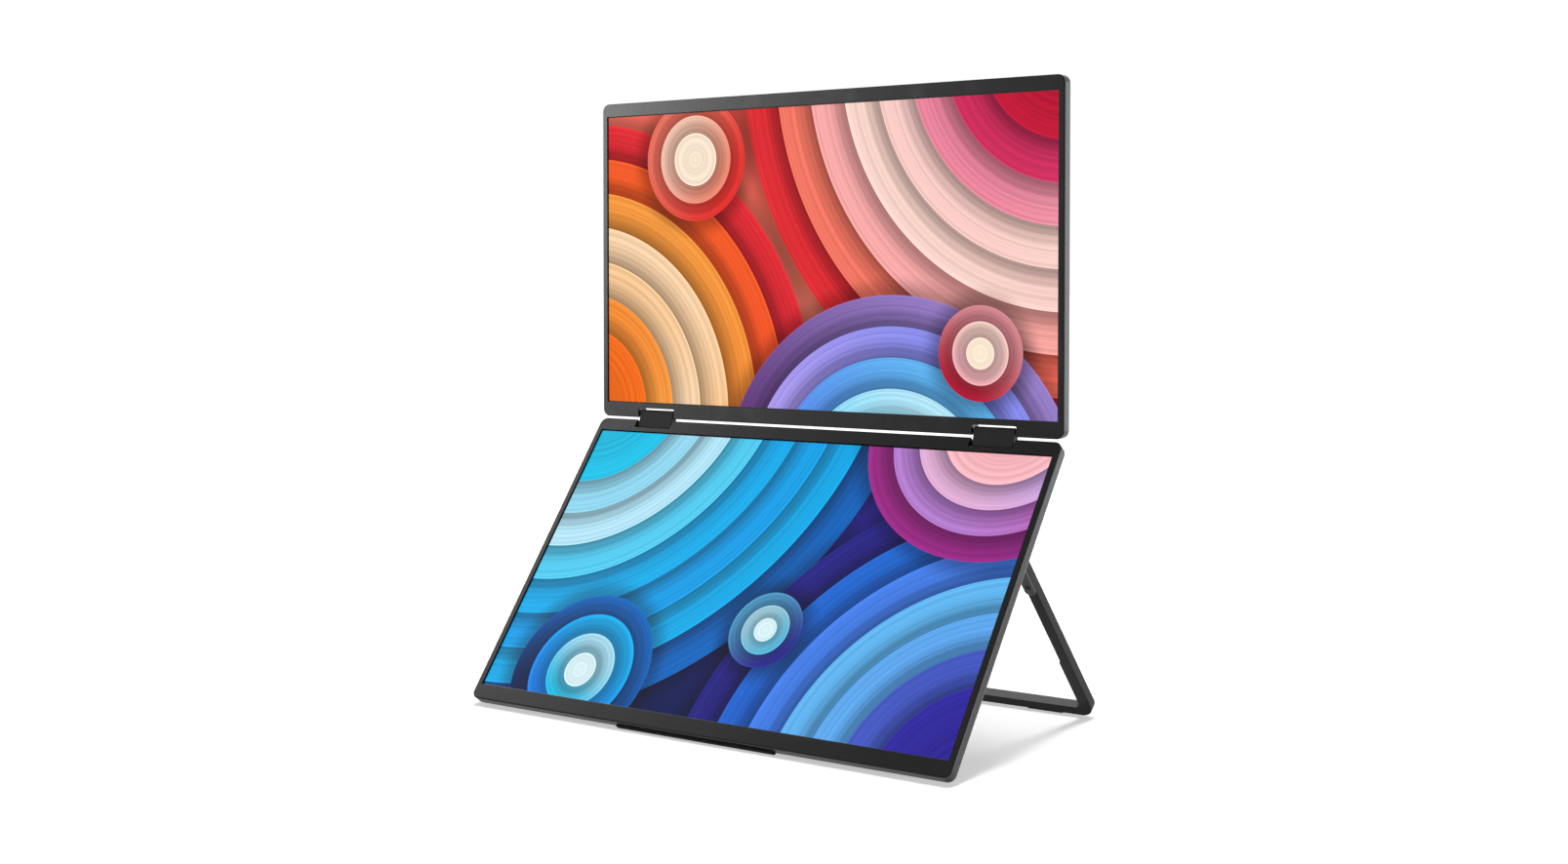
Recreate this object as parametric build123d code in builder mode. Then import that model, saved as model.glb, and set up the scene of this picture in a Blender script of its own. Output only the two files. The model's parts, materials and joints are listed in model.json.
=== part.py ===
from build123d import *
import os
from dataclasses import dataclass
from math import acos, atan2, cos, degrees, hypot, radians, sin

# Dual-screen portable monitor: two displays on two-axis hinge links, with a folding kickstand.
# Millimetres and degrees. +X is to the viewer's right, +Y to the back, +Z up, and the floor is Z = 0.
# The origin is on the floor, in the middle of the box around the part.

# Pose at rest, as the lean back from upright
lower_lean = 37.0
link_lean = 16.0
upper_lean = 0.0

# Lit area of each screen
screen_width = 344.16
screen_height = 193.59

# Casings of the two displays
side_border = 4.4
lower_bottom_border = 10.4
lower_top_border = 10.0
upper_bottom_border = 10.4
upper_top_border = 9.2
lower_depth = 9.0
upper_depth = 8.6
lower_back_radius = 3.0
upper_back_radius = 2.0
corner_radius = 5.0
wall = 1.4
floor_thickness = 1.3
bezel_depth = 1.2
bezel_edge_radius = 0.6
seam_chamfer = 0.25
window_margin = 0.6
rib_thickness = 1.2
rib_end_gap = 20.0
rib_inset = 9.0
rib_pitch = 45.0
cut_overrun = 1.0

# Screen stack: glass cell, films, light guide and tray, from the front
glass_depth = 1.0
film_depth = 0.4
guide_depth = 1.0
tray_sheet = 0.3
glass_margin = 1.9
glass_ledge = 4.0
guide_margin = 1.2
stack_clearance = 0.15
led_bar_height = 1.2
led_bar_sheet = 0.3
led_length = 3.8
led_height = 0.9
led_rise = 0.6
led_count = 30

# Driver board at each screen's border away from the hinges, and the flex tabs that reach it
board_sheet = 0.8
lower_driver_inset = 72.08
upper_driver_length = 116.0
driver_wall_gap = 0.4
driver_flex_gap = 0.3
driver_chip_length = 9.0
driver_chip_height = 2.4
driver_chip_rise = 0.6
driver_chip_shares = (-0.2, 0.0, 0.2)
flex_sheet = 0.2
flex_width = 12.0
flex_foot = 1.8
flex_shares = (-0.3, -0.1, 0.1, 0.3)

# Hinge links, shafts and brackets
hinge_side_inset = 46.48
link_width = 28.0
link_side_gap = 1.35
link_wall = 1.4
link_corner = 1.0
link_edge_radius = 0.5
hinge_inset = 2.4
axis_spacing = 8.0
lower_axis_drop = 0.6
shaft_radius = 1.1
shaft_end_gap = 2.0
bore_clearance = 0.03
notch_clearance = 1.5
notch_corner = 0.8
ear_rim = 0.6
ear_thickness = 1.6
ear_gap = 0.3
bracket_clearance = 0.1
bracket_length = 46.0
bracket_width = 5.0
bracket_sheet = 1.0
bracket_screw_count = 3
bracket_screw_margin = 6.0

# Screws
screw_radius = 1.0
screw_fit = 0.02
screw_passage = 0.15
screw_head_radius = 1.9
screw_head_height = 0.9
screw_recess_width = 0.5
screw_recess_depth = 0.45
screw_recess_share = 0.7
boss_radius = 2.5
boss_rise = 2.4
bracket_screw_reach = 0.9
link_screw_radius = 0.8
link_screw_head_radius = 1.5
link_screw_head_height = 0.9
link_screw_sink = 1.1
link_screw_reach = 1.5
link_screw_spread = 18.0

# Kickstand
stand_side_inset = 12.4
stand_length = 149.8
foot_overhang = 1.4
leg_width = 6.8
leg_depth = 6.4
leg_edge_radius = 0.5
leg_top_gap = 4.6
stand_corner_radius = 9.5
stand_inner_radius = 4.0
grip_step = 1.0
grip_height = 51.0
stand_gap = 2.3
knuckle_radius = 3.1
knuckle_gap = 0.4
knuckle_width = 6.0
pin_radius = 1.5
leaf_sheet = 1.4
leaf_length = 35.0
leaf_screw_first = 13.0
leaf_screw_second = 28.0
leaf_screw_reach = 3.5
base_width = 11.9
base_length = 22.0
base_sheet = 1.4
base_corner = 1.5
base_screw_inset = 2.8
base_screw_spread = 14.0
base_screw_reach = 3.2

# Rubber feet
strip_length = 116.0
strip_front = 4.5
strip_back = 8.2
strip_proud = 1.2
strip_groove = 0.6
floor_clearance = 1.0
pad_length = 24.0
pad_width = 2.8
pad_seat = 1.0
pad_proud = 1.2
pad_side_inset = 35.0
stand_clearance = 0.5

# Electronics housing on the back of the lower display
housing_depth = 7.4
housing_wall = 1.6
housing_corner = 10.0
housing_edge_radius = 2.4
housing_side_gap = 3.5
housing_bottom_margin = 14.0
housing_top_margin = 18.6
bay_margin = 28.0
column_radius = 3.0
column_inset = 13.0
column_rise = 60.0
column_spread = 44.0
column_top_inset = 10.0
column_head_depth = 1.2
vent_count = 16
vent_pitch = 5.0
vent_width = 1.6
vent_length = 9.0
vent_drop = 24.0

# Main board, inlets and buttons
main_board_width = 100.0
main_board_height = 95.0
main_board_sheet = 1.0
main_board_gap = 0.4
main_screw_inset = 5.0
main_screw_reach = 0.9
chip_side = 15.0
chip_rise = 1.3
chip_shares = ((-0.15, 0.1), (0.2, 0.1), (0.2, -0.25), (-0.15, -0.25))
inlet_count = 2
inlet_width = 8.94
inlet_height = 3.26
inlet_length = 7.4
inlet_shell = 0.3
inlet_corner = 1.2
inlet_tongue_width = 6.7
inlet_tongue_height = 0.7
inlet_tongue_share = 0.8
inlet_recess = 0.4
inlet_clearance = 0.2
inlet_pitch = 14.0
inlet_top_inset = 14.0
cable_width = 16.0
cable_sheet = 0.3
cable_bond = 12.0
cable_end_gap = 1.0
button_board_width = 36.0
button_board_height = 40.0
button_length = 8.0
button_height = 3.0
button_corner = 1.2
button_proud = 0.5
button_flange = 0.8
button_flange_depth = 1.2
button_clearance = 0.2
button_travel = 0.5
button_stop_gap = 0.3
button_pitch = 11.5
switch_gap = 0.1
switch_length = 4.0
switch_depth = 3.0
switch_rise = 2.6

sides = {"left": -1, "right": 1}
button_names = ("power_button", "menu_up_button", "menu_down_button")

# Outlines and depths that follow from these sizes
casing_width = screen_width + 2 * side_border
hinge_spread = casing_width / 2 - hinge_side_inset
stand_width = casing_width - 2 * stand_side_inset
pad_spread = stand_width / 2 - pad_side_inset
lower_height = lower_bottom_border + screen_height + lower_top_border
upper_height = upper_bottom_border + screen_height + upper_top_border
film_front = bezel_depth + glass_depth
guide_front = film_front + film_depth
tray_front = guide_front + guide_depth
tray_back = tray_front + tray_sheet
tray_width = screen_width + 2 * (guide_margin + stack_clearance)
tray_drop = guide_margin + led_bar_height + 2 * stack_clearance
lower_driver_length = screen_width - 2 * lower_driver_inset
flex_drop = (glass_ledge + tray_drop + tray_sheet + flex_sheet) / 2
driver_edge = flex_drop + driver_flex_gap
link_radius = shaft_radius + link_wall
notch_width = link_width + 2 * link_side_gap
notch_depth = hinge_inset + link_radius + notch_clearance
notch_inner = hinge_spread - notch_width / 2
ear_half = shaft_radius + ear_rim
upper_axis_depth = bezel_depth + bracket_clearance + ear_half
lower_axis_depth = upper_axis_depth + lower_axis_drop
ear_outer = notch_inner - wall - ear_gap
ear_inner = ear_outer - ear_thickness
bracket_near = wall + bracket_clearance
leg_inner = stand_width / 2 - leg_width
base_outer = leg_inner - knuckle_gap
base_inner = base_outer - base_width
housing_half = base_inner - housing_side_gap
housing_inner_half = housing_half - housing_wall
housing_top = lower_height - housing_top_margin
housing_height = housing_top - housing_bottom_margin
housing_middle = (housing_top + housing_bottom_margin) / 2
housing_back = lower_depth + housing_depth
board_corner = housing_corner - housing_wall
pivot_height = stand_length - foot_overhang
pivot_depth = lower_depth + stand_gap + leg_depth / 2
leg_front = leg_depth / 2

# Where the lower display and the stand meet the floor
lean_sin = sin(radians(lower_lean))
lean_cos = cos(radians(lower_lean))
lower_lift = (
    lower_back_radius * (1 - lean_cos) + floor_clearance + (lower_depth - lower_back_radius) * lean_sin
)
pivot_lift = lower_lift + pivot_height * lean_cos - pivot_depth * lean_sin
foot_run = stand_length - leg_edge_radius
foot_half = leg_depth / 2 - leg_edge_radius
foot_drop = pivot_lift - leg_edge_radius - stand_clearance
stand_lean = degrees(atan2(foot_half, foot_run) + acos(foot_drop / hypot(foot_run, foot_half)))
stand_sin = sin(radians(stand_lean))
stand_cos = cos(radians(stand_lean))
front_reach = bezel_edge_radius * (lean_sin + lean_cos - 1)
back_reach = (
    pivot_height * lean_sin + pivot_depth * lean_cos
    + foot_run * stand_sin + foot_half * stand_cos + leg_edge_radius
)
lower_start = -(front_reach + back_reach) / 2


def leaning_plane(origin, lean):
    """Plane at an origin: its X is +X, its Y runs up the lean, and its Z comes out of the front."""
    return Plane(origin=origin, x_dir=(1, 0, 0), z_dir=(0, -cos(radians(lean)), sin(radians(lean))))


@dataclass
class Display:
    """A display's casing, on a plane with its origin mid-way along the front's bottom edge."""

    plane: Plane
    height: float
    depth: float
    back_radius: float
    screen_base: float
    hinge_at_top: bool
    axis_depth: float
    driver_length: float

    def behind(self, distance):
        """The plane that far behind the front."""
        return self.plane.offset(-distance)

    def facing_back(self, distance):
        """The plane that far behind the front, seen from the back, so that its X is turned round."""
        return Plane(self.behind(distance).origin, x_dir=(-1, 0, 0), z_dir=-self.plane.z_dir)

    def from_hinge(self, distance):
        """Height of a line that far inside the edge with the hinges."""
        return self.height - distance if self.hinge_at_top else distance

    def from_screen(self, distance):
        """Height of a line that far inside the lit area's edge away from the hinges."""
        if self.hinge_at_top:
            return self.screen_base + distance
        return self.screen_base + screen_height - distance

    @property
    def free_border(self):
        """Width of the border away from the hinges."""
        return self.screen_base if self.hinge_at_top else self.height - self.screen_base - screen_height

    @property
    def front_axis(self):
        """Line along which the front is the far end and the back the near end."""
        return Axis(self.plane.origin, self.plane.z_dir)

    @property
    def floor_front(self):
        """Depth of the casing's inner floor."""
        return self.depth - floor_thickness


lower_plane = leaning_plane((0, lower_start, lower_lift), lower_lean)
lower = Display(
    plane=lower_plane, height=lower_height, depth=lower_depth, back_radius=lower_back_radius,
    screen_base=lower_bottom_border, hinge_at_top=True,
    axis_depth=lower_axis_depth, driver_length=lower_driver_length,
)
lower_axis = (
    lower_plane.origin + lower_plane.y_dir * lower.from_hinge(hinge_inset)
    - lower_plane.z_dir * lower_axis_depth
)
link_plane = leaning_plane(lower_axis, link_lean)
upper_axis = lower_axis + link_plane.y_dir * axis_spacing
upper_turn = leaning_plane((0, 0, 0), upper_lean)
upper = Display(
    plane=leaning_plane(
        upper_axis - upper_turn.y_dir * hinge_inset + upper_turn.z_dir * upper_axis_depth, upper_lean
    ),
    height=upper_height, depth=upper_depth, back_radius=upper_back_radius,
    screen_base=upper_bottom_border, hinge_at_top=False,
    axis_depth=upper_axis_depth, driver_length=upper_driver_length,
)
pivot = lower_plane.origin + lower_plane.y_dir * pivot_height - lower_plane.z_dir * pivot_depth
stand_plane = leaning_plane(pivot, -stand_lean)
displays = {"lower": lower, "upper": upper}
finished = {}


def keep(name, piece):
    """Label a finished piece and remember it under its name."""
    piece.label = name
    finished[name] = piece


def cross_plane(base, x):
    """Plane square to X at that x: its own X runs up the base plane, and its Y out of the base's front."""
    return Plane(base.origin + Vector(x, 0, 0), x_dir=base.y_dir, z_dir=(1, 0, 0))


def draw_casing(display, inset):
    """Casing outline without its notches, a given distance inside the real one."""
    with Locations((0, display.height / 2)):
        RectangleRounded(casing_width - 2 * inset, display.height - 2 * inset, corner_radius - inset)


def draw_notches(display, margin, mode):
    """The two hinge notches of a casing, wider all round by a margin."""
    with Locations(*[(side * hinge_spread, display.from_hinge(0)) for side in sides.values()]):
        RectangleRounded(
            notch_width + 2 * margin, 2 * (notch_depth + margin), notch_corner + margin, mode=mode
        )


def draw_span(x_from, x_to, y_from, y_to, mode=Mode.ADD):
    """A rectangle between two X values and two Y values."""
    with Locations(((x_from + x_to) / 2, (y_from + y_to) / 2)):
        Rectangle(abs(x_to - x_from), abs(y_to - y_from), mode=mode)


def bracket_screw_points(display):
    """Places of the hinge brackets' screws on a display's plane."""
    first = ear_inner - bracket_screw_margin
    last = ear_outer - bracket_length + bracket_screw_margin
    pitch = (first - last) / (bracket_screw_count - 1)
    y = display.from_hinge(bracket_near + bracket_width / 2)
    return [(side * (first - i * pitch), y) for side in sides.values() for i in range(bracket_screw_count)]


def make_screws(plane, points, reach, shank=screw_radius, head=screw_head_radius, rise=screw_head_height):
    """Pan-head screws with a cross recess, seated on a plane with their heads along its Z."""
    with BuildPart(plane) as group:
        with Locations(*points):
            Cylinder(shank, reach, align=(Align.CENTER, Align.CENTER, Align.MAX))
            Cylinder(head, rise, align=(Align.CENTER, Align.CENTER, Align.MIN))
        with BuildSketch(plane.offset(rise)):
            with Locations(*points):
                Rectangle(2 * head * screw_recess_share, screw_recess_width)
                Rectangle(screw_recess_width, 2 * head * screw_recess_share)
        extrude(amount=-screw_recess_depth, mode=Mode.SUBTRACT)
    return group.part


def make_cover(display):
    """Back shell of a casing: tray with rounded back edges, hinge notches, shaft slots and ribs."""
    with BuildPart() as cover:
        with BuildSketch(display.behind(bezel_depth)):
            draw_casing(display, 0)
        extrude(amount=bezel_depth - display.depth)
        fillet(cover.faces().sort_by(display.front_axis)[0].edges(), display.back_radius)
        chamfer(cover.faces().sort_by(display.front_axis)[-1].edges(), seam_chamfer)
        with BuildSketch(display.plane):
            draw_notches(display, 0, Mode.ADD)
        extrude(amount=-display.depth - cut_overrun, mode=Mode.SUBTRACT)
        # Inside of the tray, with a wall round each notch
        with BuildSketch(display.behind(bezel_depth)):
            draw_casing(display, wall)
            draw_notches(display, wall, Mode.SUBTRACT)
        extrude(amount=bezel_depth - display.floor_front, mode=Mode.SUBTRACT)
        # Room for each bracket's ear, let into the casing's edge
        with BuildSketch(display.behind(bezel_depth)):
            for side in sides.values():
                draw_span(
                    side * (ear_inner - bracket_clearance), side * (ear_outer + ear_gap),
                    display.from_hinge(hinge_inset - ear_half - bracket_clearance),
                    display.from_hinge(hinge_inset + ear_half + bracket_clearance),
                )
        extrude(amount=bezel_depth - display.floor_front, mode=Mode.SUBTRACT)
        # Slot through each notch's inner wall for the shaft, open to the front
        with BuildSketch(display.behind(bezel_depth)):
            for side in sides.values():
                draw_span(
                    side * (ear_outer - ear_thickness / 2), side * (notch_inner + wall / 2),
                    display.from_hinge(hinge_inset - shaft_radius - ear_gap),
                    display.from_hinge(hinge_inset + shaft_radius + ear_gap),
                )
        extrude(amount=bezel_depth - display.axis_depth - shaft_radius - ear_gap, mode=Mode.SUBTRACT)
        # Ribs that carry the screen stack
        with BuildSketch(display.behind(display.floor_front)):
            for side in sides.values():
                for place in range(2):
                    x = casing_width / 2 - wall - rib_inset - place * rib_pitch
                    with Locations((side * x, display.screen_base + screen_height / 2)):
                        Rectangle(rib_thickness, screen_height - 2 * rib_end_gap)
        extrude(amount=display.floor_front - tray_back)
        with Locations(display.behind(display.floor_front)):
            with Locations(*bracket_screw_points(display)):
                Hole(screw_radius + screw_fit, bracket_screw_reach + screw_fit)
    return cover.part


def make_bezel(display):
    """Front frame round the screen, with a rounded outer edge and the hinge notches."""
    with BuildPart() as bezel:
        with BuildSketch(display.plane):
            draw_casing(display, 0)
        extrude(amount=-bezel_depth)
        fillet(bezel.faces().sort_by(display.front_axis)[-1].edges(), bezel_edge_radius)
        chamfer(bezel.faces().sort_by(display.front_axis)[0].edges(), seam_chamfer)
        with BuildSketch(display.plane):
            with Locations((0, display.screen_base + screen_height / 2)):
                Rectangle(screen_width + 2 * window_margin, screen_height + 2 * window_margin)
            draw_notches(display, 0, Mode.ADD)
        extrude(amount=-bezel_depth, mode=Mode.SUBTRACT)
    return bezel.part


def make_sheet(display, margin, ledge, front, thickness):
    """Sheet of the screen stack, past the lit area by a margin, or by a ledge away from the hinges."""
    with BuildPart() as sheet:
        with BuildSketch(display.behind(front)):
            draw_span(
                -screen_width / 2 - margin, screen_width / 2 + margin,
                display.from_screen(-ledge), display.from_screen(screen_height + margin),
            )
        extrude(amount=-thickness)
    return sheet.part


def make_tray(display):
    """Sheet-metal tray behind the light guide, with a low wall all round."""
    near = screen_height + guide_margin + stack_clearance
    with BuildPart() as tray:
        with BuildSketch(display.behind(film_front)):
            draw_span(
                -tray_width / 2 - tray_sheet, tray_width / 2 + tray_sheet,
                display.from_screen(-tray_drop - tray_sheet), display.from_screen(near + tray_sheet),
            )
        extrude(amount=film_front - tray_back)
        with BuildSketch(display.behind(film_front)):
            draw_span(
                -tray_width / 2, tray_width / 2,
                display.from_screen(-tray_drop), display.from_screen(near),
            )
        extrude(amount=film_front - tray_front, mode=Mode.SUBTRACT)
    return tray.part


def make_led_bar(display):
    """Strip of light sources along the light guide's edge away from the hinges."""
    middle = display.from_screen(-guide_margin - stack_clearance - led_bar_height / 2)
    with BuildPart() as bar:
        with BuildSketch(display.behind(tray_front)):
            with Locations((0, middle)):
                Rectangle(screen_width, led_bar_height)
        extrude(amount=led_bar_sheet)
        with BuildSketch(display.behind(tray_front - led_bar_sheet)):
            with Locations((0, middle)):
                with GridLocations(screen_width / led_count, 0, led_count, 1):
                    Rectangle(led_length, led_height)
        extrude(amount=led_rise)
    return bar.part


def make_driver_board(display):
    """Narrow circuit board on the casing's floor beside the screen, with its chips."""
    outer = wall + driver_wall_gap - display.free_border
    with BuildPart() as board:
        with BuildSketch(display.behind(display.floor_front)):
            draw_span(
                -display.driver_length / 2, display.driver_length / 2,
                display.from_screen(outer), display.from_screen(-driver_edge),
            )
        extrude(amount=board_sheet)
        with BuildSketch(display.behind(display.floor_front - board_sheet)):
            for share in driver_chip_shares:
                x = share * display.driver_length
                draw_span(
                    x - driver_chip_length / 2, x + driver_chip_length / 2,
                    display.from_screen(outer), display.from_screen(outer + driver_chip_height),
                )
        extrude(amount=driver_chip_rise)
    return board.part


def make_panel_flex(display):
    """Flex tabs from the glass cell's ledge back to the driver board."""
    landing = display.floor_front - board_sheet
    inner = display.from_screen(flex_sheet - flex_drop)
    with BuildPart() as flex:
        for share in flex_shares:
            x = share * display.driver_length - flex_width / 2
            with BuildSketch(cross_plane(display.plane, x)):
                draw_span(display.from_screen(-flex_drop), inner, -film_front, -landing)
                draw_span(
                    display.from_screen(-driver_edge - flex_foot), inner, -landing, flex_sheet - landing
                )
            extrude(amount=flex_width)
    return flex.part


def make_bracket(display, side):
    """Hinge bracket: a narrow plate along the casing's edge with an upright ear for the shaft."""
    with BuildPart() as bracket:
        with BuildSketch(display.behind(display.floor_front)):
            draw_span(
                side * ear_outer, side * (ear_outer - bracket_length),
                display.from_hinge(bracket_near), display.from_hinge(bracket_near + bracket_width),
            )
        extrude(amount=bracket_sheet)
        with BuildSketch(display.behind(display.floor_front)):
            draw_span(
                side * ear_inner, side * ear_outer,
                display.from_hinge(hinge_inset - ear_half), display.from_hinge(hinge_inset + ear_half),
            )
        extrude(amount=display.floor_front - display.axis_depth + ear_half)
        with BuildSketch(cross_plane(display.plane, side * ear_inner)):
            with Locations((display.from_hinge(hinge_inset), -display.axis_depth)):
                Circle(shaft_radius + screw_fit)
        extrude(amount=side * ear_thickness, mode=Mode.SUBTRACT)
        with Locations(display.behind(display.floor_front - bracket_sheet)):
            with Locations(*[point for point in bracket_screw_points(display) if point[0] * side > 0]):
                Hole(screw_radius + screw_passage, bracket_sheet)
    return bracket.part


def make_shaft(display, side):
    """Hinge shaft, from its bracket's ear to near the far end of the link."""
    far = hinge_spread + link_width / 2 - shaft_end_gap
    with BuildPart() as shaft:
        with BuildSketch(cross_plane(display.plane, side * ear_inner)):
            with Locations((display.from_hinge(hinge_inset), -display.axis_depth)):
                Circle(shaft_radius)
        extrude(amount=side * (far - ear_inner))
    return shaft.part


# Screens, casings and hinge shafts of both displays
for name, display in displays.items():
    keep(name + "_front_bezel", make_bezel(display))
    keep(name + "_lcd_panel", make_sheet(display, glass_margin, glass_ledge, bezel_depth, glass_depth))
    keep(name + "_optical_films", make_sheet(
        display, guide_margin, guide_margin, film_front, film_depth))
    keep(name + "_light_guide", make_sheet(
        display, guide_margin, guide_margin, guide_front, guide_depth))
    keep(name + "_backlight_tray", make_tray(display))
    keep(name + "_led_bar", make_led_bar(display))
    keep(name + "_driver_board", make_driver_board(display))
    keep(name + "_panel_flex", make_panel_flex(display))
    keep(name + "_hinge_screws", make_screws(
        display.behind(display.floor_front - bracket_sheet), bracket_screw_points(display),
        bracket_sheet + bracket_screw_reach))
    for side_name, side in sides.items():
        keep(name + "_hinge_bracket_" + side_name, make_bracket(display, side))
        keep(name + "_hinge_shaft_" + side_name, make_shaft(display, side))
keep("upper_back_cover", make_cover(upper))

# Screw places on the lower display's back
column_points = [
    (side * x, y)
    for side in sides.values()
    for x, y in (
        (housing_half - column_inset, housing_bottom_margin + column_inset),
        (housing_half - column_inset, housing_bottom_margin + column_inset + column_rise),
        (column_spread / 2, housing_top - column_top_inset),
    )
]
base_screw_points = [
    (side * (base_inner + base_screw_inset), pivot_height + end * base_screw_spread / 2)
    for side in sides.values()
    for end in (-1, 1)
]
board_left = -housing_inner_half + main_board_gap
board_right = board_left + main_board_width
board_top = housing_top - housing_wall - main_board_gap
board_bottom = board_top - main_board_height
main_screw_points = [
    (board_left + main_screw_inset, board_bottom + main_screw_inset),
    (board_left + main_screw_inset, board_bottom + main_board_height / 2),
    (board_right - main_screw_inset, board_top - main_screw_inset),
    (board_left + main_board_width / 2, board_top - main_screw_inset),
]
boss_points = column_points + base_screw_points

with BuildPart() as lower_back_cover:
    add(make_cover(lower))
    # Bosses behind the housing's and the stand bases' screws
    with BuildSketch(lower.behind(lower.floor_front)):
        with Locations(*boss_points):
            Circle(boss_radius)
    extrude(amount=boss_rise)
    with Locations(lower.behind(lower.floor_front - boss_rise)):
        with Locations(*boss_points):
            Hole(screw_radius + screw_fit, boss_rise + floor_thickness)
    with Locations(lower.facing_back(lower_depth)):
        with Locations(*[(-x, y) for x, y in main_screw_points]):
            Hole(screw_radius + screw_fit, main_screw_reach + screw_fit)
    # Bay through the floor, between the screen and the main board
    with BuildSketch(lower.behind(lower.floor_front)):
        with Locations((0, housing_middle)):
            RectangleRounded(
                2 * (housing_half - bay_margin), housing_height - 2 * bay_margin, housing_corner
            )
    extrude(amount=-floor_thickness, mode=Mode.SUBTRACT)
    # Groove under the bottom edge for the foot strip
    with BuildSketch(cross_plane(lower_plane, -strip_length / 2)):
        draw_span(-cut_overrun, strip_groove, -strip_back, -strip_front)
    extrude(amount=strip_length, mode=Mode.SUBTRACT)
keep("lower_back_cover", lower_back_cover.part)

with BuildPart() as front_foot_strip:
    with BuildSketch(cross_plane(lower_plane, -strip_length / 2)):
        draw_span(-strip_proud, strip_groove, -strip_back, -strip_front)
    extrude(amount=strip_length)
    split(bisect_by=Plane.XY, keep=Keep.TOP)
keep("front_foot_strip", front_foot_strip.part)

# Electronics housing, with screw columns, vents, inlet openings and button openings
inlet_depth = lower_depth + main_board_sheet + inlet_height / 2
inlet_places = [board_top - inlet_top_inset - i * inlet_pitch for i in range(inlet_count)]
button_places = [board_top - inlet_top_inset - i * button_pitch for i in range(len(button_names))]
with BuildPart() as rear_housing:
    with BuildSketch(lower.behind(lower_depth)):
        with Locations((0, housing_middle)):
            RectangleRounded(2 * housing_half, housing_height, housing_corner)
    extrude(amount=-housing_depth)
    fillet(rear_housing.faces().sort_by(lower.front_axis)[0].edges(), housing_edge_radius)
    with BuildSketch(lower.behind(lower_depth)):
        with Locations((0, housing_middle)):
            RectangleRounded(
                2 * housing_inner_half, housing_height - 2 * housing_wall, housing_corner - housing_wall
            )
    extrude(amount=housing_wall - housing_depth, mode=Mode.SUBTRACT)
    with BuildSketch(lower.behind(lower_depth)):
        with Locations(*column_points):
            Circle(column_radius)
    extrude(amount=housing_wall - housing_depth)
    with Locations(lower.facing_back(housing_back)):
        with Locations(*[(-x, y) for x, y in column_points]):
            CounterBoreHole(
                screw_radius + screw_passage, screw_head_radius + screw_passage, column_head_depth,
                housing_depth,
            )
    with BuildSketch(lower.behind(housing_back)):
        with Locations((0, housing_top - vent_drop)):
            with GridLocations(vent_pitch, 0, vent_count, 1):
                SlotOverall(vent_length, vent_width, rotation=90)
    extrude(amount=housing_wall, mode=Mode.SUBTRACT)
    with BuildSketch(cross_plane(lower_plane, -housing_half - cut_overrun)):
        with Locations(*[(y, -inlet_depth) for y in inlet_places]):
            RectangleRounded(
                inlet_width + 2 * inlet_clearance, inlet_height + 2 * inlet_clearance,
                inlet_corner + inlet_clearance,
            )
    extrude(amount=housing_wall + 2 * cut_overrun, mode=Mode.SUBTRACT)
    with BuildSketch(cross_plane(lower_plane, housing_half + cut_overrun)):
        with Locations(*[(y, -inlet_depth) for y in button_places]):
            RectangleRounded(
                button_length + 2 * button_clearance, button_height + 2 * button_clearance,
                button_corner + button_clearance,
            )
    extrude(amount=-housing_wall - 2 * cut_overrun, mode=Mode.SUBTRACT)
keep("rear_housing", rear_housing.part)
keep("rear_housing_screws", make_screws(
    lower.facing_back(housing_back - column_head_depth), [(-x, y) for x, y in column_points],
    housing_depth - column_head_depth + base_screw_reach))

with BuildPart() as main_board:
    with BuildSketch(lower.behind(lower_depth)) as board_outline:
        draw_span(board_left, board_right, board_bottom, board_top)
        fillet(board_outline.vertices(), board_corner)
    extrude(amount=-main_board_sheet)
    with Locations(lower.facing_back(lower_depth + main_board_sheet)):
        with Locations(*[(-x, y) for x, y in main_screw_points]):
            Hole(screw_radius + screw_passage, main_board_sheet)
    with BuildSketch(lower.behind(lower_depth + main_board_sheet)):
        with Locations(((board_left + board_right) / 2, (board_bottom + board_top) / 2)):
            with Locations(*[(x * main_board_width, y * main_board_height) for x, y in chip_shares]):
                Rectangle(chip_side, chip_side)
    extrude(amount=-chip_rise)
keep("main_board", main_board.part)
keep("main_board_screws", make_screws(
    lower.facing_back(lower_depth + main_board_sheet), [(-x, y) for x, y in main_screw_points],
    main_board_sheet + main_screw_reach))

# Inlets: a folded shell round a tongue, open to the left
inlet_mouth = -housing_half + inlet_recess
with BuildPart() as usb_c_sockets:
    for place in inlet_places:
        with BuildSketch(cross_plane(lower_plane, inlet_mouth)):
            with Locations((place, -inlet_depth)):
                RectangleRounded(inlet_width, inlet_height, inlet_corner)
        extrude(amount=inlet_length)
        with BuildSketch(cross_plane(lower_plane, inlet_mouth)):
            with Locations((place, -inlet_depth)):
                RectangleRounded(
                    inlet_width - 2 * inlet_shell, inlet_height - 2 * inlet_shell, inlet_corner - inlet_shell
                )
                Rectangle(inlet_tongue_width, inlet_tongue_height, mode=Mode.SUBTRACT)
        extrude(amount=inlet_length - inlet_shell, mode=Mode.SUBTRACT)
        with BuildSketch(cross_plane(lower_plane, inlet_mouth)):
            with Locations((place, -inlet_depth)):
                Rectangle(inlet_tongue_width, inlet_tongue_height)
        extrude(amount=inlet_length * (1 - inlet_tongue_share), mode=Mode.SUBTRACT)
keep("usb_c_sockets", usb_c_sockets.part)

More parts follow.
